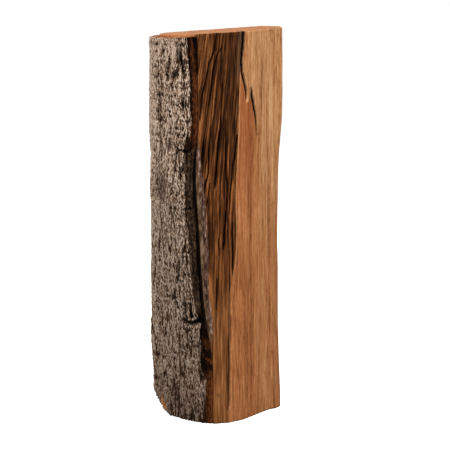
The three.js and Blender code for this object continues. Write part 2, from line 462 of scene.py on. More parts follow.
def wood_relief(across, x, z, on, share, look):
    """How far the wood stands out, in millimetres, how black painted shade makes its cracks and slits, how
    dark painted shade makes its furrows along with the wood's own marks, where it is tawny or carries a
    painted highlight, and how its grain runs."""
    is_dark = on["dark_face"]
    is_bright = on["bright_face"]

    # Dark face: weathered furrows that lean to the left as they run down, and fade out near the foot.
    below = np.maximum(LEAN_FOOT - z, 0)
    run = np.minimum(LOG_HEIGHT - z, LOG_HEIGHT - LEAN_FOOT) + 30 * (1 - np.exp(-below / 30))
    leaning = (x + 0.095 * run) / (1 + 0.003 * run)
    leaning = leaning + 0.5 * noise(x / 9, z / 38, 11) + 0.2 * noise(x / 3, z / 12, 12)
    rough = np.clip(ease(*FURROWS_IN, z) + 0.1, 0, 1) * (1 - 0.45 * ease(0.45, 0.75, share))
    spread = 1 + 0.006 * run
    broad = furrows(leaning / 2.0, z / 95, 21, 0.17 / spread)
    middle = furrows(leaning / 1.4, z / 55, 22, 0.23 / spread)
    fine = furrows(leaning / 1.1, z / 30, 23, 0.23 / spread)
    edges = ease(0, 0.03, share) * (1 - ease(0.97, 1, share))
    carve = (1.3 * broad + 0.8 * middle + 0.35 * fine) * rough
    swell = 0.5 * noise(leaning / 5, z / 60, 24) * rough
    slits = cut_along(x + 0.35 * noise(x / 3, z / 9, 25), z, DARK_SLITS, 0.6)
    ragged = x + 0.5 * noise(x / 9, z / 7, 26) + 0.3 * noise(x / 9, z / 1.6, 27)
    seam = cut_along(ragged, z, [RIDGE_SEAM], 0.5)
    seam_shadow = cut_along(ragged + 0.8, z, [RIDGE_SEAM], 2.0)
    main = cut_along(x + 0.12 * noise(x, z / 5, 31), z, [MAIN_CRACK], CRACK_WALL)
    # A crack is painted black over its walls as well as at its bottom: painted shade.
    main_crack_shade = ease(0.2, 0.75, main)
    dark_relief = (swell - look.furrow_depth / MM * carve) * edges
    dark_relief = dark_relief - CRACK_DEPTH * slits - 1.2 * seam - CRACK_DEPTH * main
    relief = is_dark * dark_relief
    # Painted shade darkens the furrows, and a painted shadow darkens the dark face beside the seam, under the
    # ridge.
    furrow = np.clip((0.8 * broad + 0.55 * middle + 0.35 * fine) * rough, 0, 1)
    groove = is_dark * np.maximum(furrow, 0.6 * seam_shadow)
    # Painted shade: the slits, the seam and the main crack are painted near black.
    cut = is_dark * np.maximum(np.maximum(0.85 * slits, 0.6 * seam), main_crack_shade)

    # Bright face: a lifted flap at the top, split off along two drying cracks.
    second = cut_along(x + 0.12 * noise(x, z / 5, 32), z, [SECOND_CRACK], CRACK_WALL)
    second_crack_shade = ease(0.2, 0.75, second)
    left_of = line_at(z, MAIN_CRACK)
    tongue = line_at(z, TONGUE_SIDE)
    right_of = line_at(z, SECOND_CRACK)
    tongue_top, tongue_foot = (height for _, height in TONGUE_SIDE)
    above = z >= tongue_top
    beside_tongue = (z > tongue_foot) & ~above & (x < tongue) & (x > left_of)
    lifted = (above & (x > left_of)) | (~above & (x > right_of)) | beside_tongue
    flap = lifted * ease(*FLAP_FADE, z)
    fibres = 0.2 * noise(across / 1.5, z / 50, 33) + 0.12 * noise(across / 0.8, z / 22, 34)
    waves = 0.4 * noise(across / 11, z / 90, 35)
    steps = 0.2 * furrows(across / 6, z / 120, 36, 0.1)
    streak = cut_along(x, z, [BRIGHT_STREAK], 0.6)
    bright_relief = fibres + waves - steps + 0.6 * flap - 0.35 * streak
    bright_relief -= CRACK_DEPTH * np.maximum(main, second * 0.8)
    bright_relief *= ease(0, 0.02, share) * (1 - main) + main
    bright_relief -= 1.0 * seam
    relief += is_bright * bright_relief
    # Painted shade: both cracks and the seam are painted near black on the bright face.
    cut += is_bright * np.maximum(np.maximum(main_crack_shade, second_crack_shade), 0.6 * seam)
    bruise = ease(0.05, 0.45, noise(across / 1.8, z / 4, 37))
    bruise = bruise * ease(316, 330, z) * ease(33, 39, x)
    # Painted shade darkens the steps; the streak and the bruise are the wood's own marks.
    groove += is_bright * np.clip(0.35 * steps / 0.2 + 0.6 * streak + 0.5 * bruise, 0, 1)

    # The strip beside the bark is smooth, with shallow ripples. A crevice parts it from the bark.
    crevice = (1 - ease(0.02, 0.14, share)) * ease(*CREVICE_IN, z) * (1 - ease(*CREVICE_OUT, z))
    ripples = 0.35 * noise(across / 3, z / 16, 41) * ease(0, 0.4, share)
    relief += on["strip"] * (ripples - 2.0 * crevice)
    # Painted shade: the crevice beside the bark is painted black.
    cut += on["strip"] * crevice

    # The faces out of sight were riven too, with longer splinters.
    tears = furrows(across / 6.5, z / 120, 51, 0.12)
    rear = 0.8 * noise(across / 9, z / 110, 52) + 0.35 * noise(across / 2.6, z / 80, 53) - 0.9 * tears
    splinters = 1.1 * ease(0.15, 0.22, noise(across / 10, z / 140, 54))
    inside_corners = ease(0, 0.14, share) * (1 - ease(0.86, 1, share))
    is_rear = on["right_face"] | on["right_back"] | on["back_right"] | on["back_left"]
    relief += is_rear * (rear + splinters - 0.5) * inside_corners
    # Painted shade darkens the tears.
    groove += is_rear * 0.7 * tears

    # Tan wood shows on the flap, and fades out below it towards the redder wood on the left. A pale line down
    # the ridge is a painted highlight, laid in with the same colour.
    flap_top = FLAP_FADE[1]
    fade = ease(24, 36, x + 1.5 * noise(x / 3, z / 60, 55)) * (0.25 + 0.6 * ease(110, flap_top, z))
    tan = is_bright * np.maximum(flap, fade * (z < flap_top) + fade * flap)
    # Painted highlight: a pale line down the bright face along the ridge.
    ridge_highlight = is_bright * (1 - ease(0.012, 0.022, share)) * ease(110, 150, z) * (z < 300)
    tan = np.maximum(tan, 0.9 * ridge_highlight)
    corner = np.max(np.where(is_bright & (share > 0.97), tan, 0), axis=1, keepdims=True)
    turned = ease(0, 1, share + 0.4 * noise(across / 4, z / 60, 56))
    tan = np.where(on["right_face"], corner * (1 - turned), tan)
    along_grain = np.where(is_dark, leaning, across)
    return relief, cut, groove, tan, along_grain


def face_across(x, y, on):
    """A coordinate across the grain in millimetres, straight up each face."""
    across = np.where(on["bright_face"], 15 + (x - 15) * 0.65 + (y - 14) * 0.76, x)
    across = np.where(on["right_face"], 70 + (y - 57), across)
    across = np.where(on["right_back"], 90 + (y - 78) * 0.87 - (x - 47) * 0.5, across)
    back = on["back_right"] | on["back_left"]
    return np.where(back, 125 - (x - 32) * 0.9 - (y - 105) * 0.43, across)


def wood_mesh(look):
    """The wood's faces and its two sawn ends, with the fields that its material reads."""
    share_up = np.linspace(0, 1, WOOD_ROWS + 1)
    outline, stretch, share = wood_outlines(share_up * LOG_HEIGHT)
    stretch = np.broadcast_to(stretch, outline.shape[:2])
    share = np.broadcast_to(share, outline.shape[:2])
    z = share_up[:, None] * saw_cut(outline)
    x = outline[..., 0]
    on = {name: stretch == index for index, (name, _) in enumerate(WOOD_STRETCHES)}
    across = face_across(x, outline[..., 1], on)
    relief, cut, groove, tan, along_grain = wood_relief(across, x, z, on, share, look)
    relief[:, -1] = relief[:, 0]
    placed = outline + outward(outline) * relief[..., None]
    placed[:, -1] = placed[:, 0]

    on_dark = on["dark_face"]
    on_strip = on["strip"]
    fade = ease(55, 185, z + 16 * noise(x / 4, z / 30, 61))
    shade = ease(0.28, 0.6, share + 0.12 * noise(x / 4, z / 40, 62)) * ease(190, 260, z)
    shade = np.maximum(shade, ease(0.88, 0.96, share) * ease(110, 170, z))
    lighter = (1 - ease(0.25, 0.5, share)) * ease(225, 265, z)
    dark = np.where(on_dark, 0.3 + 0.45 * fade + 0.25 * shade - 0.3 * lighter, 0)
    dark = np.where(on_strip, 0.75, dark)
    low_end = ease(*GREY_IN, z)
    grey = np.where(on_strip, low_end * (1 - ease(*GREY_OUT, z)), 0)
    rim = np.where(on_dark, 1 - ease(0.0, 0.05, share + 0.03 * noise(x, z / 7, 63)), 0)
    grey = np.maximum(grey, rim * low_end * (1 - ease(205, 225, z)))
    violet = np.where(on_strip, ease(0.35, 0.75, share + 0.2 * noise(x, z / 12, 65)), 1.0)
    crest = ease(0.86, 0.95, share + 0.04 * noise(x / 2, z / 25, 64)) * ease(285, 305, z) * on_dark
    ruddy = on["bright_face"] * (1 - ease(21, 28, x + 1.5 * noise(x / 3, z / 50, 66)))
    ruddy = ruddy * ease(170, 225, z) * (1 - tan)
    knot = np.where(on_dark, 1 - ease(0.4, 2.2, np.hypot(x - KNOT[0], (z - KNOT[1]) / 1.5)), 0)
    groove = np.maximum(groove, 0.75 * knot)
    rows = {
        "place": [np.concatenate([placed, z[..., None]], axis=2)],
        "grain": [np.stack([along_grain, stretch * FACE_STEP, z], axis=2)],
        "tint": [np.stack([dark, grey, tan], axis=2)],
        "marks": [np.stack([cut, groove, np.zeros(z.shape)], axis=2)],
        "shades": [np.stack([violet, crest, ruddy], axis=2)],
    }

    # Each end is a run of rings that close in on its middle. A saw leaves it almost flat.
    for row, order in ((0, -1), (-1, 1)):
        ring = placed[row] + (END_MIDDLE - placed[row]) * END_RINGS[..., None]
        # The painted crack shade runs a little way in over each sawn end.
        cracks = cut[row] * np.maximum(0, 1 - END_RINGS / 0.5)
        flat = np.zeros(cracks.shape)
        level = flat
        if row:
            level = saw_cut(ring) + 0.22 * noise(ring[..., 0] / 4, ring[..., 1] / 9, 71) * (END_RINGS < 1)
        places = np.concatenate([ring, level[..., None]], axis=2)[::order]
        plain = np.stack([flat, flat, flat], axis=2)
        marks = np.stack([cracks, flat, flat + 1], axis=2)[::order]
        extra = {"place": places, "grain": places, "tint": plain, "marks": marks, "shades": plain}
        add_rows(rows, extra, at_foot=row == 0)
    away = [(part[..., :2] - PITH) * RING_SHAPE for part in rows["place"]]
    rows["ring"] = [np.hypot(part[..., 0], part[..., 1]) for part in away]
    return grid_piece("split_wood_riven", rows)


# Bark

BARK_ROWS = 308
# Columns round the outside, over the front edge, along the inside and over the back edge.
BARK_OUTER = 256
BARK_EDGE = 30
BARK_INNER = 16
BARK_BACK = 8
EDGE_END = BARK_OUTER + BARK_EDGE
# Heights at which the walls are drawn, about a millimetre apart, and the one half way up.
WALL_ROWS = 336
MIDDLE_ROW = WALL_ROWS // 2
# The bark's front lies nearer than this.
FRONT_DEPTH = 34
# Shares of the way from the rim of an end to the line it closes to, which stops short of the wall's corners.
RIM_STEPS = (0.06, 0.3, 0.6, 1.0)
RIM_INSET = 1 / 64


def bark_relief(around, z, look):
    """The plates and pits of the bark's outside, in millimetres, and how high each place is from 0 to 1."""
    sway = 1.2 * noise(around / 9, z / 21, 101) + 0.6 * noise(around / 3.6, z / 8, 102)
    lift = 2.0 * noise(around / 8, z / 17, 103)
    ropes = furrows((around + sway) / 1.6, (z + lift) / 7.0, 111, 0.36)
    strands = furrows((around + 0.7 * sway) / 1.1, (z + lift) / 4.6, 112, 0.38)
    cells = 1 - ease(0.0, 0.32, cell_walls((around + sway) / 1.8, (z + lift) / 5.6, 113))
    woven = 1 - (1 - 0.9 * ropes) * (1 - 0.6 * strands) * (1 - 0.55 * cells)
    crumbs = layered_noise(around / 0.9, z / 1.8, 115)
    height = 0.9 * woven + 0.2 * crumbs
    fissure = furrows((around + sway) / 7.0, z / 75, 121, 0.12)
    bulge = 0.8 * layered_noise(around / 20, z / 42, 123)
    height = np.clip(height - 0.55 * fissure, 0, 1.1)
    depth = look.pit_depth / MM
    ledge = 1.2 * ease(84, 79, z) * ease(48, 66, z) * ease(40, 20, around)
    relief = depth * (height - 0.7) - 0.5 * fissure + bulge + ledge
    return relief, height


def edge_shape(t, z, around):
    """The broken edge of the bark, from its outside at t 0 to the wood at t 1: its relief, how far it is the
    smooth rolled part, and how much painted shade darkens it."""
    # Near the top the outside overhangs a recessed, fibrous layer. Half way up the bark is rolled in and
    # smooth, with a crevice beside the wood. Near the foot a hollow opens, over more of the fibres. Painted
    # shade darkens the layer under the overhang, the crevice and the hollow, where the sticks' ledges stay
    # lighter.
    overhang = np.exp(-((t - 0.24) / 0.15) ** 2)
    fibrous = -3.4 * overhang + 0.7 * np.exp(-((t - 0.8) / 0.18) ** 2)
    crevice = ease(0.87, 0.97, t)
    rolled = 1.5 * np.sin(np.pi * np.clip(t * 1.1, 0, 1)) - 2.2 * crevice
    hollow = -2.8 * np.sin(np.pi * np.clip(t, 0, 1))
    middle = ease(*ROLLED_IN, z) * (1 - ease(*ROLLED_OUT, z))
    low = ease(*HOLLOW_IN, z + 3 * noise(around / 3, z / 6, 135)) * (1 - ease(*HOLLOW_OUT, z))
    foot = 1 - ease(40, 60, z)
    fibrous = fibrous * (1 - 0.75 * foot)
    shape = fibrous * (1 - middle) * (1 - low) + rolled * middle + hollow * low
    strands = 0.5 * noise(around / 1.3, z / 7, 131) + 0.4 * noise(around / 0.8, z / 2.5, 132)
    lumps = 0.7 * noise(around / 2.6, z / 5, 133)
    shape = shape + (strands + lumps) * (1 - 0.75 * middle + 0.8 * low)
    shape = shape + 0.3 * noise(around / 2, z / 4, 134) * middle
    sticks = noise((around + 0.12 * z) / 1.9, z / 11, 136) + 0.4 * noise(around / 1.6, z / 5, 137)
    ledges = ease(-0.05, 0.45, sticks)
    # Painted shadow under the overhang, and painted shade in the crevice and in the hollow.
    shadow = overhang * (1 - foot) * (1 - low) * (1 - middle) * (0.9 - 0.6 * ease(292, 304, z))
    dark = np.maximum(shadow, crevice * middle)
    dark = np.maximum(dark, low * (0.92 - 0.95 * ledges))
    return shape, middle, np.clip(dark, 0, 1)


def chips(share):
    """How the sawn top of the bark is chipped, at each share of the way round."""
    return 0.8 * noise(share * 22, share * 0, 143) + 0.4 * noise(share * 70, share * 0, 144)


def along_path(places, shares, path):
    """The points at these places along a path whose own points are at these shares."""
    return np.stack([np.interp(places, shares, path[:, axis]) for axis in (0, 1)], axis=1)


def bark_mesh(look):
    """The bark's outside, broken edge, inside and ends, with the fields that its material reads."""
    shares = np.linspace(0, 1, BARK_OUTER + 1)
    foot = np.maximum(0, smooth_rows(BARK_FOOT, shares)[:, 0])
    ragged = 0.8 * noise(shares * 26, shares * 0, 141) + 0.25 * noise(shares * 90, shares * 0, 142)
    foot = np.maximum(0, foot + np.clip(foot / 6, 0, 1) * ragged)
    share_up = np.linspace(0, 1, BARK_ROWS + 1)

    # Walls at every height, then each column read at its own heights, because the foot is broken off.
    fine = np.linspace(0, LOG_HEIGHT, WALL_ROWS)
    edge_t = np.linspace(0, 1, BARK_EDGE + 1)
    inner_shares = np.linspace(1, 0, BARK_INNER + 1)
    back_t = np.linspace(0, 1, BARK_BACK + 1)
    outside, inside = bark_walls(fine, shares)
    coarse_inside = np.array([along_path(inner_shares, shares, row) for row in inside])
    edge = outside[:, -1:] + (inside[:, -1:] - outside[:, -1:]) * edge_t[None, :, None]
    back = inside[:, :1] + (outside[:, :1] - inside[:, :1]) * back_t[None, :, None]
    loop = np.concatenate([outside[:, :-1], edge[:, :-1], coarse_inside[:, :-1], back], axis=1)
    ends = [shares[:-1], np.ones(BARK_EDGE), inner_shares[:-1], np.zeros(BARK_BACK + 1)]
    column_share = np.concatenate(ends)
    low = np.interp(column_share, shares, foot)
    heights = low[None, :] + (LOG_HEIGHT - low)[None, :] * share_up[:, None]
    columns = [along_path(up, fine, loop[:, column]) for column, up in enumerate(heights.T)]
    outline = np.stack(columns, axis=1)
    high = saw_cut(outline) - BARK_DROP + chips(column_share)
    z = low + (high - low) * share_up[:, None]
    x = outline[..., 0]

    column = np.broadcast_to(np.arange(len(columns)), z.shape)
    is_outer = column < BARK_OUTER
    is_edge = (column >= BARK_OUTER) & (column < EDGE_END)
    is_back = (column > EDGE_END + BARK_INNER) & (column < len(columns) - 1)
    shown = is_outer | is_edge
    t = np.zeros(z.shape)
    t[:, BARK_OUTER:EDGE_END] = edge_t[:-1]
    # How far round each column is, in millimetres, on past the front edge.
    around = column_share * np.linalg.norm(np.diff(outside[MIDDLE_ROW], axis=0), axis=1).sum()
    around = around + t * np.linalg.norm(inside[MIDDLE_ROW, -1] - outside[MIDDLE_ROW, -1])

    # The net is drawn a little wider where the bark turns away from the front.
    skin, height = bark_relief(0.68 * around + 0.34 * np.maximum.accumulate(x, axis=1), z, look)
    shape, rolled, edge_shade = edge_shape(t, z, around)
    near = outline[..., 1] < FRONT_DEPTH
    wobble = 0.5 * noise(x / 2, z / 2, 151)
    cracks = np.where(near & shown, cut_along(x + wobble, z + wobble, BARK_CRACKS, CRACK_WALL), 0)
    patch = np.zeros(z.shape)
    for px, pz, half_width, half_height in DARK_PATCHES:
        reach = np.hypot((x - px) / half_width, (z - pz) / half_height) + 0.25 * noise(x / 2, z / 5, 152)
        patch = np.maximum(patch, 1 - ease(0.55, 1.1, reach))
    patch = np.where(near, patch, 0)

    # The skin runs on over the front edge and breaks off along a ragged line.
    tear = line_at(z, SKIN_EDGE) + 0.7 * noise(z / 3.2, z * 0, 153) + 0.5 * noise(z / 1.2, z * 0, 154)
    near_edge = is_edge | (is_outer & near)
    on_skin = np.where(near_edge, 1 - ease(0, 0.9, x - tear), 1.0)
    kept = on_skin + 0.4 * rolled * (1 - on_skin)
    relief = np.where(shown, skin * kept + shape * (1 - on_skin), 0)
    relief -= CRACK_DEPTH * cracks + np.where(is_outer, 0.9 * patch, 0)
    # At the top a wedge is missing beside the wood. It narrows to a slit.
    wedge = line_at(z, WEDGE_EDGE) + 0.5 * noise(z / 3, z * 0, 156)
    missing = np.where(is_edge, ease(-0.3, 0.4, x - wedge) * ease(*WEDGE_IN, z), 0)
    relief -= 4.5 * missing
    relief += np.where(is_back, 0.8 * noise(around + t, z / 6, 155), 0)
    relief[:, -1] = relief[:, 0]
    placed = outline + outward(outline) * relief[..., None]
    placed[:, -1] = placed[:, 0]

    chip = cut_along(x + 0.4 * noise(x, z / 2, 157), z, [FOOT_CHIP], 0.5) * (is_outer & near)
    inner_layer = np.where(shown, np.maximum(1 - on_skin, chip), 1.0)
    inner_layer[:, -1] = inner_layer[:, 0]
    rolled = np.where(near_edge, rolled * (1 - on_skin), 0)
    # Painted shade: the bark's cracks, the missing wedge and the shaded broken edge are painted black, and
    # the black runs on a few columns behind the edge.
    black = np.clip(cracks + missing + np.where(is_edge, edge_shade * (1 - on_skin), 0), 0, 1)
    behind = slice(EDGE_END, EDGE_END + 3)
    black[:, behind] = np.maximum(black[:, behind], black[:, EDGE_END - 1:EDGE_END])
    # Over the back edge the skin's pattern runs on across the thickness.
    skin_around = around.copy()
    skin_around[:, EDGE_END + BARK_INNER:] = (back_t - 1) * BARK_THICKNESS
    skin_around[:, -1] = skin_around[:, 0]
    depth_in = np.where(shown, t, 0.8)
    depth_in[:, -1] = depth_in[:, 0]
    depth_in = np.maximum(depth_in, 1.8 * chip)
    rows = {
        "place": [np.concatenate([placed, z[..., None]], axis=2)],
        "skin": [np.stack([skin_around, t * 20, z], axis=2)],
        "layers": [np.stack([np.clip(height, 0, 1), inner_layer, rolled], axis=2)],
        "marks": [np.stack([black, patch, depth_in], axis=2)],
    }

    # At each end the wall closes in to a line along the middle of its thickness, where both sides meet.
    middle_share = np.clip(column_share, RIM_INSET, 1 - RIM_INSET)
    for at_foot, row, bared in ((True, 0, 0.5), (False, -1, 1.45)):
        line = along_path(middle_share, shares, (outside[row] + inside[row]) / 2)
        level = np.interp(middle_share, shares, foot)
        if not at_foot:
            level = saw_cut(line) - BARK_DROP + chips(middle_share) + 0.3
        rim = {key: parts[0 if at_foot else -1][row] for key, parts in rows.items()}
        target = np.column_stack([line, level])
        for step in RIM_STEPS:
            ring = rim["place"] + (target - rim["place"]) * step
            layers = rim["layers"].copy()
            layers[:, 1] = np.maximum(layers[:, 1], min(0.7, step))
            marks = rim["marks"].copy()
            # The painted black shade fades out across the end's rim.
            marks[:, 0] *= 1 - step
            marks[:, 2] = bared
            extra = {"place": ring, "skin": ring * [1, 1, 0.3], "layers": layers, "marks": marks}
            add_rows(rows, {key: value[None] for key, value in extra.items()}, at_foot)
    return close_ends(grid_piece("bark_fissured", rows))


# Materials


def linear(hex_colour):
    """An sRGB hex colour as linear red, green, blue and alpha."""
    parts = [int(hex_colour[i:i + 2], 16) / 255 for i in (1, 3, 5)]
    return (*(c / 12.92 if c <= 0.04045 else ((c + 0.055) / 1.055) ** 2.4 for c in parts), 1.0)


def add_node(tree, kind, inputs=None, stops=None, **settings):
    """Adds a node, sets it, and fills its inputs with values or links them to other nodes."""
    node = tree.nodes.new("ShaderNode" + kind)
    node.location = (220 * (len(tree.nodes) % 8), -260 * (len(tree.nodes) // 8))
    for name, value in settings.items():
        setattr(node, name, value)
    for name, value in (inputs or {}).items():
        if isinstance(name, int):
            socket = node.inputs[name]
        else:
            socket = next(s for s in node.inputs if s.name == name and s.enabled)
        if isinstance(value, bpy.types.Node):
            value = next(s for s in value.outputs if s.enabled)
        if isinstance(value, bpy.types.NodeSocket):
            tree.links.new(value, socket)
        else:
            socket.default_value = value
    if stops:
        elements = node.color_ramp.elements
        while len(elements) < len(stops):
            elements.new(0.5)
        for element, (place, colour) in zip(elements, stops):
            element.position = place
            element.color = linear(colour)
    return node


def new_material(name):
    """An empty material, and add_node for its tree."""
    material = bpy.data.materials.new(name)
    material.use_nodes = True
    material.node_tree.nodes.clear()
    return material, partial(add_node, material.node_tree)


def surface_reads(add, fields, along, noises):
    """What each part of the points' fields says, and noises drawn out along the field that runs with the
    surface."""
    reads = {}
    for field, parts in fields.items():
        reads[field] = add("Attribute", attribute_name=field).outputs["Vector"]
        reads.update(zip(parts, add("SeparateXYZ", {"Vector": reads[field]}).outputs))
    for name, (width, length, detail, rough) in noises.items():
        drawn_out = (1 / width, 1 / width, 1 / length)
        drawn = add("VectorMath", {0: reads[along], 1: drawn_out}, operation="MULTIPLY")
        reads[name] = add("TexNoise", {"Vector": drawn, "Scale": 1.0, "Detail": detail, "Roughness": rough})
    return reads


def paint(add, reads, tones, colours, coats):
    """Adds up the tones, runs the colours along them, lays the coats and gives the last one's colour."""
    for name, parts in tones.items():
        total = 0.0
        for part, share in parts.items():
            total = add("Math", {0: reads[part], 1: share, 2: total}, operation="MULTIPLY_ADD")
        reads[name] = total
    made = {}
    for name, (tone, stops) in colours.items():
        made[name] = add("ValToRGB", {"Fac": reads[tone]}, stops=stops)
    for name, under, over, source, *run in coats:
        share = reads[source]
        if run:
            ends = dict(zip(("From Min", "From Max", "To Min", "To Max"), run))
            share = add("MapRange", {"Value": share, **ends})
        over = made[over] if over in made else linear(over)
        made[name] = add("Mix", {"Factor": share, "A": made[under], "B": over}, data_type="RGBA")
    return made[name]


# The parts of the fields that the wood's points carry.
WOOD_FIELDS = {
    "tint": ("dark", "grey", "tan"),
    "marks": ("cut", "groove", "end"),
    "shades": ("violet", "crest", "ruddy"),
    "grain": ("across", "face", "up"),
}
# Wood fibres are under a tenth of a millimetre wide, which is too fine to show. The streaks are bundles of
# them, drawn a millimetre or more wide. Each has its width and length in millimetres, detail and roughness.
WOOD_STREAKS = {
    "broad": (7, 170, 2, 0.55),
    "bands": (2.6, 80, 3, 0.55),
    "fibres": (1.7, 24, 3, 0.7),
    "threads": (1.3, 45, 2, 0.55),
    "specks": (1.3, 5.5, 2, 0.7),
}
# What each tone is made of, as shares of the streaks.
WOOD_TONES = {
    "body": {"broad": 0.25, "bands": 0.25, "fibres": 0.3, "specks": 0.2},
    "old": {"bands": 0.15, "fibres": 0.25, "threads": 0.6},
    "ash": {"bands": 0.3, "specks": 0.7},
    "bumps": {"bands": 0.3, "fibres": 0.7},
}
# Runs of colour, each along one tone.
WOOD_COLOURS = {
    "red": ("body", [(0.42, "#86502c"), (0.47, "#a8683d"), (0.52, "#b67445"), (0.58, "#c98a5a")]),
    "pale": ("body", [(0.42, "#925f37"), (0.47, "#b57f52"), (0.52, "#c48e60"), (0.58, "#d6a678")]),
    "warm": ("old", [(0.41, "#2b1507"), (0.47, "#512d15"), (0.53, "#6f3f1f"), (0.60, "#a86838")]),
    "golden": ("old", [(0.40, "#512e16"), (0.47, "#744624"), (0.53, "#87532c"), (0.60, "#a26c3f")]),
    "umber": ("old", [(0.41, "#180a03"), (0.47, "#361c0a"), (0.53, "#4c2b12"), (0.60, "#784824")]),
    "beige": ("ash", [(0.40, "#4a3525"), (0.5, "#745943"), (0.60, "#9a7c60")]),
    "purple": ("ash", [(0.42, "#2a1a15"), (0.5, "#5c3f34"), (0.56, "#7f6152"), (0.62, "#b89f90")]),
    "sawn": ("year", [(0.25, "#bd8755"), (0.7, "#b27645"), (0.98, "#a06437"), (1.0, "#8b542b")]),
}
# Coats that go over a colour: what each makes, what is under it, what is over it and what its share is read
# from. Where four numbers follow, a reading from the first to the second gives a share from the third to the
# fourth.
WOOD_COATS = [
    ("red", "red", "#8a4526", "ruddy", 0, 1, 0, 0.5),
    ("sound", "red", "pale", "tan"),
    ("stained", "golden", "warm", "dark", 0.3, 0.72, 0, 1),
    ("stained", "stained", "umber", "dark", 0.75, 1, 0, 0.85),
    ("whole", "sound", "stained", "dark", 0.02, 0.2, 0, 1),
    ("whole", "whole", "#5b4430", "crest", 0, 1, 0, 0.55),
    ("ashen", "beige", "purple", "violet"),
    ("whole", "whole", "ashen", "grey"),
    ("sawn", "sawn", "#965a30", "patches", 0.45, 0.7, 0, 0.5),
    ("sawn", "sawn", "#6d3f1f", "checks", 0.003, 0.012, 0.75, 0),
    ("whole", "whole", "sawn", "end"),
    # Painted shade: the wood darkens towards the foot, where less light falls.
    ("whole", "whole", "#3a2413", "up", 0, 260, 0.1, 0),
    # Painted shade in the furrows, steps and tears and a painted shadow beside the seam, with the knot,
    # bruise and streak, which are the wood's own marks.
    ("whole", "whole", "#241006", "groove", 0, 1, 0, 0.72),
    # Painted shade: cracks, slits, the seam and the crevice, laid on near black.
    ("whole", "whole", "#080403", "cut"),
]
# How far apart the growth rings lie, in millimetres.
RING_WIDTH = 2.6


def wood_material():
    """Alder, riven along the grain and sawn across it: orange-brown fibres that lie straight up the log.
    One face has weathered dark, and the strip beside the bark has turned grey."""
    material, add = new_material("riven_alder")
    reads = surface_reads(add, WOOD_FIELDS, "grain", WOOD_STREAKS)

    # Each year's ring ends in a thin darker line, and pores speckle it. A noise's scale is how many of its
    # cells fit in a metre, so the wobble's are 36 mm wide, the pores' 1 mm and the patches' 17 mm.
    ring = add("Attribute", attribute_name="ring").outputs["Fac"]
    place = add("TexCoord").outputs["Object"]
    wobble = add("TexNoise", {"Vector": place, "Scale": 28.0, "Detail": 2.0})
    pores = add("TexNoise", {"Vector": place, "Scale": 900.0, "Detail": 3.0, "Roughness": 0.7})
    reads["patches"] = add("TexNoise", {"Vector": place, "Scale": 60.0, "Detail": 3.0})
    year = add("Math", {0: wobble, 1: 7.0, 2: ring}, operation="MULTIPLY_ADD")
    year = add("Math", {0: year, 1: RING_WIDTH}, operation="DIVIDE")
    year = add("Math", {0: year}, operation="FRACT")
    reads["year"] = add("Math", {0: pores, 1: 0.7, 2: year}, operation="MULTIPLY_ADD")

    # Fine checks run out from the pith.
    from_pith = (*((SECTION_CENTRE - PITH) * MM), 0)
    spoke = add("VectorMath", {0: place, 1: from_pith}, operation="ADD")
    apart = add("SeparateXYZ", {"Vector": spoke})
    turn = add("Math", {0: apart.outputs["Y"], 1: apart.outputs["X"]}, operation="ARCTAN2")
    spoke = add("CombineXYZ", {"X": turn, "Y": ring})
    spoke = add("VectorMath", {0: spoke, 1: (9.0, 0.018, 1.0)}, operation="MULTIPLY")
    spoke = add("TexNoise", {"Vector": spoke, "Scale": 1.0, "Detail": 2.0})
    spoke = add("Math", {0: spoke, 1: 0.5}, operation="SUBTRACT")
    reads["checks"] = add("Math", {0: spoke}, operation="ABSOLUTE")

    colour = paint(add, reads, WOOD_TONES, WOOD_COLOURS, WOOD_COATS)
    bump = add("Bump", {"Strength": 0.6, "Distance": 0.3 * MM, "Height": reads["bumps"]})
    shader = add("BsdfPrincipled", {
        "Base Color": colour, "Roughness": 0.75, "IOR": 1.46, "Specular IOR Level": 0.06, "Normal": bump})
    add("OutputMaterial", {"Surface": shader})
    return material


# The parts of the fields that the bark's points carry.
BARK_FIELDS = {
    "layers": ("height", "inner", "rolled"),
    "marks": ("black", "patch", "depth_in"),
    "skin": ("around", "through", "up"),
}
# The bark's grit is finer than a millimetre and its fibres finer than a tenth, and both are drawn as wide as
# they need to show. Each fleck has its width and length in millimetres, detail and roughness.
BARK_FLECKS = {
    "crumbs": (0.9, 1.7, 3, 0.65),
    "clouds": (13, 26, 3, 0.65),
    "strands": (1.0, 4, 3, 0.65),
    "warmth": (3.5, 7, 2, 0.65),
    "cords": (2.0, 8, 2, 0.65),
}
BARK_TONES = {
    # The crust's tone rises with the relief's height, so its pits are painted dark: partly the bark's own
    # colour, partly painted shade.
    "crusty": {"height": 0.6, "crumbs": 0.75, "clouds": 0.25, "crest_line": 1.0},
    # The fibres lighten with depth_in, away from the skin's edge: partly painted shade under the overhang.
    "glow": {"depth_in": 0.2, "strands": 0.8},
    "smooth": {"crumbs": 0.55, "clouds": 0.25, "height": 0.2},
}
BARK_COLOURS = {
    "crust": ("crusty", [
        (0.61, "#150e09"), (0.72, "#443327"), (0.83, "#836b59"), (0.92, "#b39882"), (0.99, "#d4beaa")]),
    "fibrous": ("glow", [
        (0.40, "#140904"), (0.50, "#361a0c"), (0.60, "#653518"), (0.72, "#91542a"), (0.84, "#b98459")]),
    # The rolled part is painted darker than the crust, partly as painted shade where it turns away from the
    # light.
    "folded": ("smooth", [(0.39, "#0e0804"), (0.47, "#22160e"), (0.54, "#3e2d1f"), (0.64, "#6d5844")]),
}
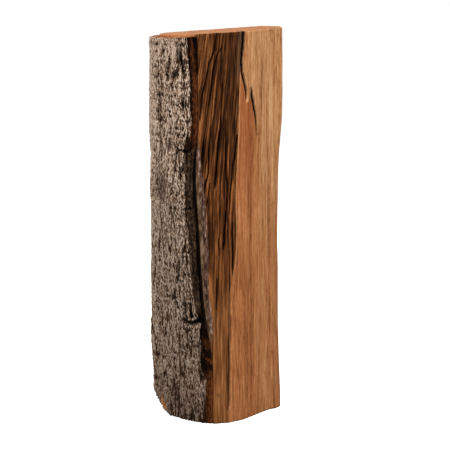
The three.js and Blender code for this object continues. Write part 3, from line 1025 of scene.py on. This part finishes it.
BARK_COATS = [
    ("crust", "crust", "#8a6247", "warmth", 0.5, 0.72, 0, 0.4),
    # Painted shade: the crust darkens towards the foot, and more over its lowest 40 mm, where less light
    # falls.
    ("crust", "crust", "#352213", "up", 0, 260, 0.43, 0),
    ("crust", "crust", "#24150a", "up", 4, 40, 0.3, 0),
    ("crust", "crust", "#361e1a", "patch", 0, 1, 0, 0.6),
    ("broken", "fibrous", "folded", "rolled"),
    ("whole", "crust", "broken", "inner"),
    # Painted shade: the cracks, the missing wedge and the shaded parts of the broken edge are painted near
    # black.
    ("whole", "whole", "#060403", "black"),
]


def bark_material():
    """Alder bark, grown and dried: a grey-brown corky net of ridges over pits that are painted dark, partly
    in their own colour and partly as painted shade, and red-brown fibres where it is broken through."""
    material, add = new_material("alder_bark")
    reads = surface_reads(add, BARK_FIELDS, "skin", BARK_FLECKS)
    # Thin pale lines run up the crests.
    wander = add("Math", {0: reads["cords"], 1: 0.5}, operation="SUBTRACT")
    wander = add("Math", {0: wander}, operation="ABSOLUTE")
    reads["crest_line"] = add("MapRange", {"Value": wander, "From Max": 0.05, "To Min": 0.1, "To Max": -0.04})

    colour = paint(add, reads, BARK_TONES, BARK_COLOURS, BARK_COATS)
    bump = add("Bump", {"Strength": 0.8, "Distance": 0.5 * MM, "Height": reads["crumbs"]})
    shader = add("BsdfPrincipled", {
        "Base Color": colour, "Roughness": 0.88, "IOR": 1.45, "Specular IOR Level": 0.06, "Normal": bump})
    add("OutputMaterial", {"Surface": shader})
    return material


# The stage, in metres. Each softbox has its name, its place, the length of its side and its power in watts.
FLOOR_SIZE = 12
SOFTBOXES = [
    ("left_softbox", (-0.5, -0.95, 1.0), 0.3, 12),
    ("right_softbox", (0.95, -0.55, 0.95), 0.4, 9),
    ("top_softbox", (0.0, -0.1, 1.4), 1.0, 8),
    ("back_softbox", (-0.3, 1.4, 0.5), 0.8, 7),
]
# The softboxes face this point, a little above the log's middle.
LIT_POINT = Vector((0, 0, 0.2))
WHITE = (1, 1, 1, 1)
# The camera's lens and sensor, in millimetres.
LENS_LENGTH = 150.24
SENSOR_WIDTH = 36


# Settings, operators and panel


class SplitLogSettings(bpy.types.PropertyGroup):
    """Sizes and colours of the log and its stage."""
    furrow_depth: FloatProperty(
        name="Furrow depth", description="How deep the weathered furrows of the dark face are",
        default=1.0 * MM, min=0, max=3 * MM, unit="LENGTH")
    pit_depth: FloatProperty(
        name="Pit depth", description="From the top of the bark's net of ridges to the bottom of its pits",
        default=2.2 * MM, min=0, max=4 * MM, unit="LENGTH")
    camera_reach: FloatProperty(
        name="Camera reach", description="From the camera to the front of the log",
        default=1.5628, min=0.5, max=5, unit="LENGTH")
    camera_height: FloatProperty(
        name="Camera height", description="How high the camera stands over the floor",
        default=0.4393, min=0, max=3, unit="LENGTH")
    camera_tilt: FloatProperty(
        name="Camera tilt", description="How far the camera looks down",
        default=math.radians(9.656), min=0, max=math.radians(60), subtype="ANGLE")
    floor_colour: FloatVectorProperty(
        name="Floor", description="Colour of the floor",
        default=linear("#f4f4f4")[:3], size=3, min=0, max=1, subtype="COLOR")


class SPLITLOG_OT_wood(bpy.types.Operator):
    """Builds the riven wood with its two sawn ends."""
    bl_idname = "splitlog.wood"
    bl_label = "Wood"

    def execute(self, context):
        finish_piece(wood_mesh(context.scene.split_log), wood_material(), "split_wood")
        return {"FINISHED"}


class SPLITLOG_OT_bark(bpy.types.Operator):
    """Builds the bark with its broken edge."""
    bl_idname = "splitlog.bark"
    bl_label = "Bark"

    def execute(self, context):
        finish_piece(bark_mesh(context.scene.split_log), bark_material(), "bark")
        return {"FINISHED"}


class SPLITLOG_OT_stage(bpy.types.Operator):
    """Sets the pale floor, the soft lights and the camera."""
    bl_idname = "splitlog.stage"
    bl_label = "Stage"

    def execute(self, context):
        look = context.scene.split_log
        scene = context.scene
        bpy.ops.object.select_all(action="DESELECT")
        bpy.ops.mesh.primitive_plane_add(size=FLOOR_SIZE, location=(0, FLOOR_SIZE / 4, 0))
        floor = context.object
        floor.name = "floor"
        paper, add_to_floor = new_material("matte_white_paper")
        floor.data.materials.append(paper)
        world = bpy.data.worlds.new("studio")
        scene.world = world
        world.use_nodes = True
        world.node_tree.nodes.clear()

        add_to_world = partial(add_node, world.node_tree)

        # The floor and the backdrop look bright but throw little light, so the log's foot stays darker.
        thrown_by_floor = add_to_floor("BsdfDiffuse", {"Color": (0.3, 0.3, 0.3, 1)})
        seen_on_floor = add_to_floor("BsdfPrincipled", {
            "Base Color": (*look.floor_colour, 1), "Roughness": 0.9, "Specular IOR Level": 0.1,
            "Emission Color": WHITE, "Emission Strength": 0.7})
        thrown_by_world = add_to_world("Background", {"Color": WHITE, "Strength": 0.34})
        seen_beyond = add_to_world("Background", {"Color": WHITE, "Strength": 1.0})
        for add, thrown, seen, output in (
            (add_to_floor, thrown_by_floor, seen_on_floor, "OutputMaterial"),
            (add_to_world, thrown_by_world, seen_beyond, "OutputWorld"),
        ):
            path = add("LightPath")
            mixed = add("MixShader", {0: path.outputs["Is Camera Ray"], 1: thrown, 2: seen})
            add(output, {"Surface": mixed})

        for name, place, size, power in SOFTBOXES:
            bpy.ops.object.light_add(type="AREA", location=place)
            lamp = context.object
            lamp.name = name
            lamp.data.shape = "SQUARE"
            lamp.data.size = size
            lamp.data.energy = power
            lamp.rotation_euler = (LIT_POINT - Vector(place)).to_track_quat("-Z", "Y").to_euler()

        front = -SECTION_CENTRE[1] * MM
        bpy.ops.object.camera_add(
            location=(-SECTION_CENTRE[0] * MM, front - look.camera_reach, look.camera_height),
            rotation=(math.pi / 2 - look.camera_tilt, 0, 0))
        camera = context.object
        camera.name = "camera"
        camera.data.lens = LENS_LENGTH
        camera.data.sensor_width = SENSOR_WIDTH
        scene.camera = camera
        scene.view_settings.view_transform = "Standard"
        return {"FINISHED"}


class SPLITLOG_PT_panel(bpy.types.Panel):
    """Lists the log's settings and its operators."""
    bl_idname = "SPLITLOG_PT_panel"
    bl_label = "Split Log"
    bl_space_type = "VIEW_3D"
    bl_region_type = "UI"
    bl_category = "Split Log"

    def draw(self, context):
        look = context.scene.split_log
        for name in SplitLogSettings.__annotations__:
            self.layout.prop(look, name)
        for operator in (SPLITLOG_OT_wood, SPLITLOG_OT_bark, SPLITLOG_OT_stage):
            self.layout.operator(operator.bl_idname)


CLASSES = (SplitLogSettings, SPLITLOG_OT_wood, SPLITLOG_OT_bark, SPLITLOG_OT_stage, SPLITLOG_PT_panel)


def register():
    for cls in CLASSES:
        bpy.utils.register_class(cls)
    bpy.types.Scene.split_log = PointerProperty(type=SplitLogSettings)


def unregister():
    del bpy.types.Scene.split_log
    for cls in reversed(CLASSES):
        bpy.utils.unregister_class(cls)


def main():
    register()
    bpy.ops.splitlog.wood()
    bpy.ops.splitlog.bark()
    bpy.ops.splitlog.stage()
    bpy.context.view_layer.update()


if __name__ == "__main__":
    main()
